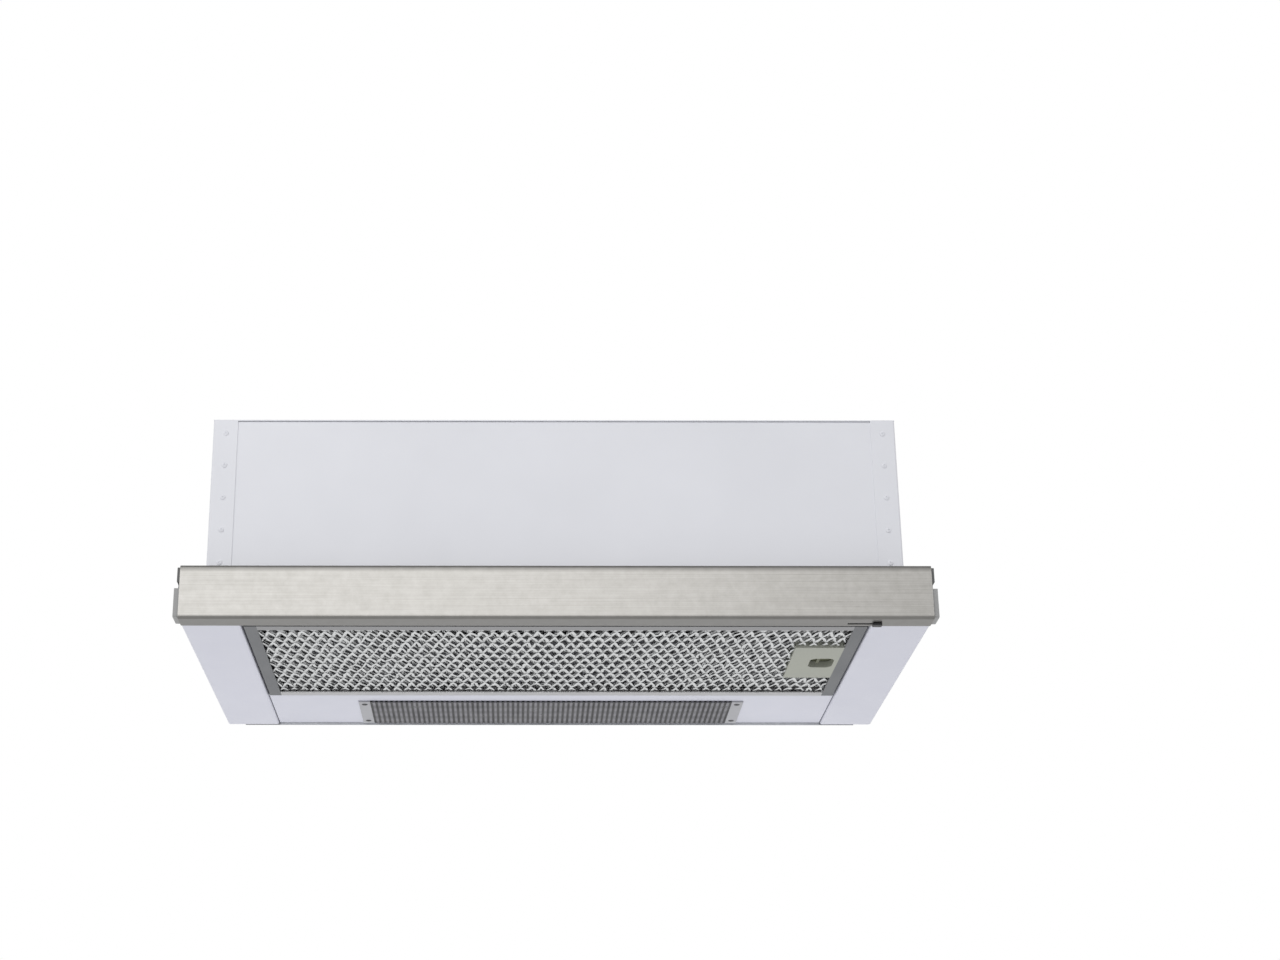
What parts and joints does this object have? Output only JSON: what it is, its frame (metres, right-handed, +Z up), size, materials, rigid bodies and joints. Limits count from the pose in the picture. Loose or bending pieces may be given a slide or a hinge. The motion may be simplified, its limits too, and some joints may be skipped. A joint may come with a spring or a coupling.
{
  "type": "built-in range hood",
  "caption": "Slide-out cabinet range hood: grey steel casing, brushed strip on a sliding visor with mesh grease filter and latch, ribbed lamp cover, blower and flapped duct collar.",
  "frame": {"origin": "middle of the casing's back face, level with the underside", "axes": "+X to the right seen from the front, +Y towards the wall, +Z up; the front strip faces -Y"},
  "size_m": [0.6, 0.33, 0.216],
  "materials": {
    "casing_paint": "satin light grey stove enamel",
    "visor_paint": "satin cool white enamel",
    "strip_steel": "stainless steel, brushed along its length",
    "plated_steel": "zinc plated sheet steel",
    "bright_steel": "plated screws, rivets, pins and axles",
    "filter_alloy": "bare aluminium",
    "cover_smoke": "smoke grey ribbed plastic",
    "rail_grey": "dark grey filter rail",
    "latch_plastic": "beige grey moulded plastic",
    "latch_dark": "dark olive moulded plastic",
    "black_plastic": "black moulded plastic",
    "grey_plastic": "grey moulded plastic",
    "nylon": "natural nylon",
    "motor_steel": "varnished motor steel",
    "lamp_glass": "milky lamp glass",
    "shaft_steel": "ground steel"
  },
  "bodies": {
    "casing": {"casing_left": "casing_paint", "casing_right": "casing_paint", "casing_front": "casing_paint", "casing_back": "plated_steel", "casing_top": "casing_paint", "casing_rivets": "casing_paint", "light_panel": "visor_paint", "cross_rail": "plated_steel", "lamp_cover": "cover_smoke", "lamp_cover_screws": "bright_steel", "lamp_reflector": "plated_steel", "lamp_tube": "lamp_glass", "lamp_tube_caps": "filter_alloy", "lampholder_left": "nylon", "lampholder_right": "nylon", "inner_filter_frame": "filter_alloy", "inner_filter_mesh": "filter_alloy", "runner_left": "plated_steel", "runner_right": "plated_steel", "front_glide_left": "nylon", "front_glide_right": "nylon", "scroll_left": "grey_plastic", "scroll_right": "grey_plastic", "motor_stack": "motor_steel", "motor_bell_left": "plated_steel", "motor_bell_right": "plated_steel", "motor_spider": "plated_steel", "capacitor": "grey_plastic", "terminal_box": "black_plastic", "terminal_lid": "black_plastic", "cable_gland": "black_plastic", "duct_collar": "black_plastic", "collar_screws": "bright_steel", "flap_pin": "bright_steel"},
    "rotor": {"impeller": "black_plastic", "motor_shaft": "shaft_steel"},
    "left_flap": {"flap_left": "grey_plastic"},
    "right_flap": {"flap_right": "grey_plastic"},
    "visor": {"trim_strip": "strip_steel", "trim_backer": "plated_steel", "trim_cap_left": "grey_plastic", "trim_cap_right": "grey_plastic", "arm_left": "visor_paint", "arm_right": "visor_paint", "arm_screws": "bright_steel", "slide_left": "plated_steel", "slide_right": "plated_steel", "rear_glide_left": "nylon", "rear_glide_right": "nylon", "pivot_brackets": "plated_steel", "speed_switch": "black_plastic"},
    "knob": {"speed_knob": "black_plastic"},
    "filter": {"filter_front_rail": "filter_alloy", "filter_rear_rail": "filter_alloy", "filter_left_rail": "rail_grey", "filter_right_rail": "rail_grey", "filter_mesh": "filter_alloy", "pivot_pins": "bright_steel", "latch_plate": "latch_plastic"},
    "latch": {"latch_slider": "latch_dark"}
  },
  "joints": [
    {"name": "visor_slide", "type": "slide", "parent": "casing", "child": "visor", "axis": [0, -1, 0], "range_m": [0, 0.15]},
    {"name": "filter_tilt", "type": "hinge", "parent": "visor", "child": "filter", "pos_m": [-0.242, -0.2035, 0.004], "axis": [0, 1, 0], "range_deg": [0, 75]},
    {"name": "latch_slide", "type": "slide", "parent": "filter", "child": "latch", "axis": [-1, 0, 0], "range_m": [0, 0.006], "stiffness_N_per_m": 250},
    {"name": "speed_slide", "type": "slide", "parent": "visor", "child": "knob", "axis": [-1, 0, 0], "range_m": [0, 0.021]},
    {"name": "blower_spin", "type": "hinge", "parent": "casing", "child": "rotor", "pos_m": [0, -0.17, 0.12122], "axis": [1, 0, 0], "continuous": true},
    {"name": "left_flap_swing", "type": "hinge", "parent": "casing", "child": "left_flap", "pos_m": [0, -0.14024, 0.1889], "axis": [0, 1, 0], "range_deg": [0, 75]},
    {"name": "right_flap_swing", "type": "hinge", "parent": "casing", "child": "right_flap", "pos_m": [0, -0.14024, 0.1889], "axis": [0, -1, 0], "range_deg": [0, 75]}
  ]
}
